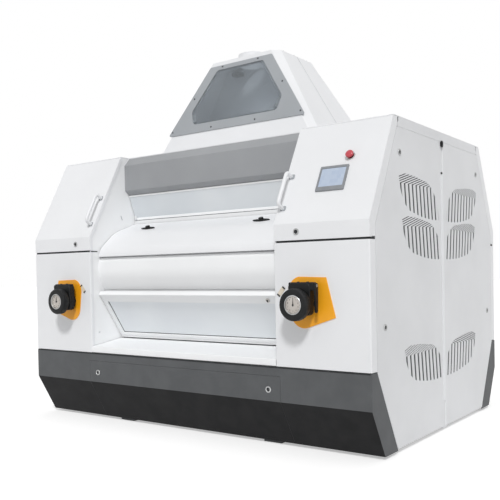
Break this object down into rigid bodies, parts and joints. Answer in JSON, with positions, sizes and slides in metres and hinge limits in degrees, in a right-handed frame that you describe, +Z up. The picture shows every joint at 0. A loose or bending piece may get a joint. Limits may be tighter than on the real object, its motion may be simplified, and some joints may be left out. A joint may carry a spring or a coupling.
{
  "type": "powder grinding mill",
  "caption": "Double roller mill that grinds grain to powder, with hinged covers, side doors, paired grinding rolls and an inlet hopper.",
  "frame": {"origin": "on the floor, under the middle of the machine", "axes": "+X along the grinding rolls, -Y towards the operator at the front, +Z up"},
  "size_m": [2.064, 1.736, 1.957],
  "materials": {
    "dark_base": "satin charcoal paint",
    "frame_iron": "grey machinery paint on castings",
    "white_paint": "satin white powder coat",
    "light_paint": "satin light grey powder coat",
    "grey_paint": "satin mid grey powder coat",
    "zinc": "zinc plated steel",
    "clear_pane": "clear safety pane",
    "orange_paint": "satin orange powder coat",
    "black_plastic": "fine grained moulding",
    "red_plastic": "gloss moulding",
    "screen_plastic": "grey moulding with a dark panel",
    "chilled_iron": "ground chilled iron",
    "ground_steel": "ground steel"
  },
  "bodies": {
    "frame": {"base_frame": "dark_base", "discharge_hoppers": "zinc", "base_skirts": "dark_base", "access_panels": "dark_base", "left_side_frame": "frame_iron", "right_side_frame": "frame_iron", "centre_wall": "frame_iron", "cheek_plates": "white_paint", "lower_panels": "white_paint", "sills": "white_paint", "middle_covers": "white_paint", "feed_covers": "grey_paint", "top_deck": "light_paint", "hopper_shell": "white_paint", "window_bezels": "grey_paint", "hopper_panes": "clear_pane", "inlet_spouts": "zinc", "dial_plates": "orange_paint", "side_posts": "light_paint", "roll_bearings": "frame_iron", "clamp_blocks": "black_plastic", "engaging_cylinders": "zinc"},
    "front_fast_roll": {"front_fast_roll": "chilled_iron"},
    "front_roll_arms": {"front_roll_arms": "frame_iron"},
    "front_slow_roll": {"front_slow_roll": "chilled_iron"},
    "front_feed_roll": {"front_feed_roll": "ground_steel"},
    "front_roll_guard": {"front_roll_guard": "white_paint"},
    "front_flap": {"front_flap": "white_paint", "front_flap_pane": "clear_pane"},
    "front_feed_window": {"front_feed_window": "clear_pane"},
    "rear_fast_roll": {"rear_fast_roll": "chilled_iron"},
    "rear_roll_arms": {"rear_roll_arms": "frame_iron"},
    "rear_slow_roll": {"rear_slow_roll": "chilled_iron"},
    "rear_feed_roll": {"rear_feed_roll": "ground_steel"},
    "rear_roll_guard": {"rear_roll_guard": "white_paint"},
    "rear_flap": {"rear_flap": "white_paint", "rear_flap_pane": "clear_pane"},
    "rear_feed_window": {"rear_feed_window": "clear_pane"},
    "front_right_cover": {"front_right_cover": "white_paint", "touch_screen": "screen_plastic"},
    "front_right_door": {"front_right_door": "light_paint"},
    "front_right_handwheel": {"front_right_handwheel": "black_plastic"},
    "front_right_lock_lever": {"front_right_lock_lever": "black_plastic"},
    "front_right_wing_knob": {"front_right_wing_knob": "black_plastic"},
    "front_left_cover": {"front_left_cover": "white_paint"},
    "front_left_door": {"front_left_door": "light_paint"},
    "front_left_handwheel": {"front_left_handwheel": "black_plastic"},
    "front_left_lock_lever": {"front_left_lock_lever": "black_plastic"},
    "front_left_wing_knob": {"front_left_wing_knob": "black_plastic"},
    "rear_right_cover": {"rear_right_cover": "white_paint"},
    "rear_right_door": {"rear_right_door": "light_paint"},
    "rear_right_handwheel": {"rear_right_handwheel": "black_plastic"},
    "rear_right_lock_lever": {"rear_right_lock_lever": "black_plastic"},
    "rear_right_wing_knob": {"rear_right_wing_knob": "black_plastic"},
    "rear_left_cover": {"rear_left_cover": "white_paint"},
    "rear_left_door": {"rear_left_door": "light_paint"},
    "rear_left_handwheel": {"rear_left_handwheel": "black_plastic"},
    "rear_left_lock_lever": {"rear_left_lock_lever": "black_plastic"},
    "rear_left_wing_knob": {"rear_left_wing_knob": "black_plastic"},
    "stop_button": {"stop_button": "red_plastic"}
  },
  "joints": [
    {"name": "front_fast_roll_spin", "type": "hinge", "parent": "frame", "child": "front_fast_roll", "pos_m": [0, -0.235, 0.814], "axis": [1, 0, 0], "continuous": true},
    {"name": "front_roll_engage", "type": "hinge", "parent": "frame", "child": "front_roll_arms", "pos_m": [0, -0.34778, 0.53287], "axis": [1, 0, 0], "range_deg": [0, 1.8]},
    {"name": "front_slow_roll_spin", "type": "hinge", "parent": "front_roll_arms", "child": "front_slow_roll", "pos_m": [0, -0.44284, 0.67381], "axis": [1, 0, 0], "continuous": true},
    {"name": "front_feed_roll_spin", "type": "hinge", "parent": "frame", "child": "front_feed_roll", "pos_m": [0, -0.352, 1.017], "axis": [1, 0, 0], "continuous": true},
    {"name": "front_roll_guard_hinge", "type": "hinge", "parent": "frame", "child": "front_roll_guard", "pos_m": [0, -0.692, 0.877], "axis": [1, 0, 0], "range_deg": [0, 70]},
    {"name": "front_flap_hinge", "type": "hinge", "parent": "frame", "child": "front_flap", "pos_m": [0, -0.546, 0.435], "axis": [1, 0, 0], "range_deg": [0, 50]},
    {"name": "front_feed_window_hinge", "type": "hinge", "parent": "frame", "child": "front_feed_window", "pos_m": [0, -0.47, 1.2014], "axis": [-1, 0, 0], "range_deg": [0, 50]},
    {"name": "rear_fast_roll_spin", "type": "hinge", "parent": "frame", "child": "rear_fast_roll", "pos_m": [0, 0.235, 0.814], "axis": [1, 0, 0], "continuous": true},
    {"name": "rear_roll_engage", "type": "hinge", "parent": "frame", "child": "rear_roll_arms", "pos_m": [0, 0.34778, 0.53287], "axis": [-1, 0, 0], "range_deg": [0, 1.8]},
    {"name": "rear_slow_roll_spin", "type": "hinge", "parent": "rear_roll_arms", "child": "rear_slow_roll", "pos_m": [0, 0.44284, 0.67381], "axis": [1, 0, 0], "continuous": true},
    {"name": "rear_feed_roll_spin", "type": "hinge", "parent": "frame", "child": "rear_feed_roll", "pos_m": [0, 0.352, 1.017], "axis": [1, 0, 0], "continuous": true},
    {"name": "rear_roll_guard_hinge", "type": "hinge", "parent": "frame", "child": "rear_roll_guard", "pos_m": [0, 0.692, 0.877], "axis": [-1, 0, 0], "range_deg": [0, 70]},
    {"name": "rear_flap_hinge", "type": "hinge", "parent": "frame", "child": "rear_flap", "pos_m": [0, 0.546, 0.435], "axis": [-1, 0, 0], "range_deg": [0, 50]},
    {"name": "rear_feed_window_hinge", "type": "hinge", "parent": "frame", "child": "rear_feed_window", "pos_m": [0, 0.47, 1.2014], "axis": [1, 0, 0], "range_deg": [0, 50]},
    {"name": "front_right_cover_hinge", "type": "hinge", "parent": "frame", "child": "front_right_cover", "pos_m": [0.805, -0.529, 1.409], "axis": [-1, 0, 0], "range_deg": [0, 80]},
    {"name": "front_right_door_hinge", "type": "hinge", "parent": "frame", "child": "front_right_door", "pos_m": [1.022, -0.0195, 0.694], "axis": [0, 0, 1], "range_deg": [0, 90]},
    {"name": "front_right_handwheel_spin", "type": "hinge", "parent": "frame", "child": "front_right_handwheel", "pos_m": [0.735, -0.85, 0.635], "axis": [0, -1, 0], "range_deg": [-720, 720]},
    {"name": "front_right_lock_lever_swing", "type": "hinge", "parent": "frame", "child": "front_right_lock_lever", "pos_m": [0.8083, -0.804, 0.711], "axis": [-1, 0, 0], "range_deg": [0, 60]},
    {"name": "front_right_wing_knob_turn", "type": "hinge", "parent": "front_roll_guard", "child": "front_right_wing_knob", "pos_m": [0.366, -0.548, 1.01001], "axis": [0, -0.3295, 0.9442], "range_deg": [0, 90]},
    {"name": "front_left_cover_hinge", "type": "hinge", "parent": "frame", "child": "front_left_cover", "pos_m": [-0.805, -0.529, 1.409], "axis": [-1, 0, 0], "range_deg": [0, 80]},
    {"name": "front_left_door_hinge", "type": "hinge", "parent": "frame", "child": "front_left_door", "pos_m": [-1.022, -0.0195, 0.694], "axis": [0, 0, -1], "range_deg": [0, 90]},
    {"name": "front_left_handwheel_spin", "type": "hinge", "parent": "frame", "child": "front_left_handwheel", "pos_m": [-0.735, -0.85, 0.635], "axis": [0, -1, 0], "range_deg": [-720, 720]},
    {"name": "front_left_lock_lever_swing", "type": "hinge", "parent": "frame", "child": "front_left_lock_lever", "pos_m": [-0.8083, -0.804, 0.711], "axis": [-1, 0, 0], "range_deg": [0, 60]},
    {"name": "front_left_wing_knob_turn", "type": "hinge", "parent": "front_roll_guard", "child": "front_left_wing_knob", "pos_m": [-0.366, -0.548, 1.01001], "axis": [0, -0.3295, 0.9442], "range_deg": [0, 90]},
    {"name": "rear_right_cover_hinge", "type": "hinge", "parent": "frame", "child": "rear_right_cover", "pos_m": [0.805, 0.529, 1.409], "axis": [1, 0, 0], "range_deg": [0, 80]},
    {"name": "rear_right_door_hinge", "type": "hinge", "parent": "frame", "child": "rear_right_door", "pos_m": [1.022, 0.0195, 0.694], "axis": [0, 0, -1], "range_deg": [0, 90]},
    {"name": "rear_right_handwheel_spin", "type": "hinge", "parent": "frame", "child": "rear_right_handwheel", "pos_m": [0.735, 0.85, 0.635], "axis": [0, 1, 0], "range_deg": [-720, 720]},
    {"name": "rear_right_lock_lever_swing", "type": "hinge", "parent": "frame", "child": "rear_right_lock_lever", "pos_m": [0.8083, 0.804, 0.711], "axis": [1, 0, 0], "range_deg": [0, 60]},
    {"name": "rear_right_wing_knob_turn", "type": "hinge", "parent": "rear_roll_guard", "child": "rear_right_wing_knob", "pos_m": [0.366, 0.548, 1.01001], "axis": [0, 0.3295, 0.9442], "range_deg": [0, 90]},
    {"name": "rear_left_cover_hinge", "type": "hinge", "parent": "frame", "child": "rear_left_cover", "pos_m": [-0.805, 0.529, 1.409], "axis": [1, 0, 0], "range_deg": [0, 80]},
    {"name": "rear_left_door_hinge", "type": "hinge", "parent": "frame", "child": "rear_left_door", "pos_m": [-1.022, 0.0195, 0.694], "axis": [0, 0, 1], "range_deg": [0, 90]},
    {"name": "rear_left_handwheel_spin", "type": "hinge", "parent": "frame", "child": "rear_left_handwheel", "pos_m": [-0.735, 0.85, 0.635], "axis": [0, 1, 0], "range_deg": [-720, 720]},
    {"name": "rear_left_lock_lever_swing", "type": "hinge", "parent": "frame", "child": "rear_left_lock_lever", "pos_m": [-0.8083, 0.804, 0.711], "axis": [1, 0, 0], "range_deg": [0, 60]},
    {"name": "rear_left_wing_knob_turn", "type": "hinge", "parent": "rear_roll_guard", "child": "rear_left_wing_knob", "pos_m": [-0.366, 0.548, 1.01001], "axis": [0, 0.3295, 0.9442], "range_deg": [0, 90]},
    {"name": "stop_button_press", "type": "slide", "parent": "front_right_cover", "child": "stop_button", "axis": [0, 0.8841, -0.4672], "range_m": [0, 0.004], "stiffness_N_per_m": 900, "springref_m": -0.002}
  ],
  "couplings": [
    {"joint": "front_slow_roll_spin", "follows": "front_fast_roll_spin", "ratio": -0.4},
    {"joint": "rear_slow_roll_spin", "follows": "rear_fast_roll_spin", "ratio": -0.4}
  ]
}
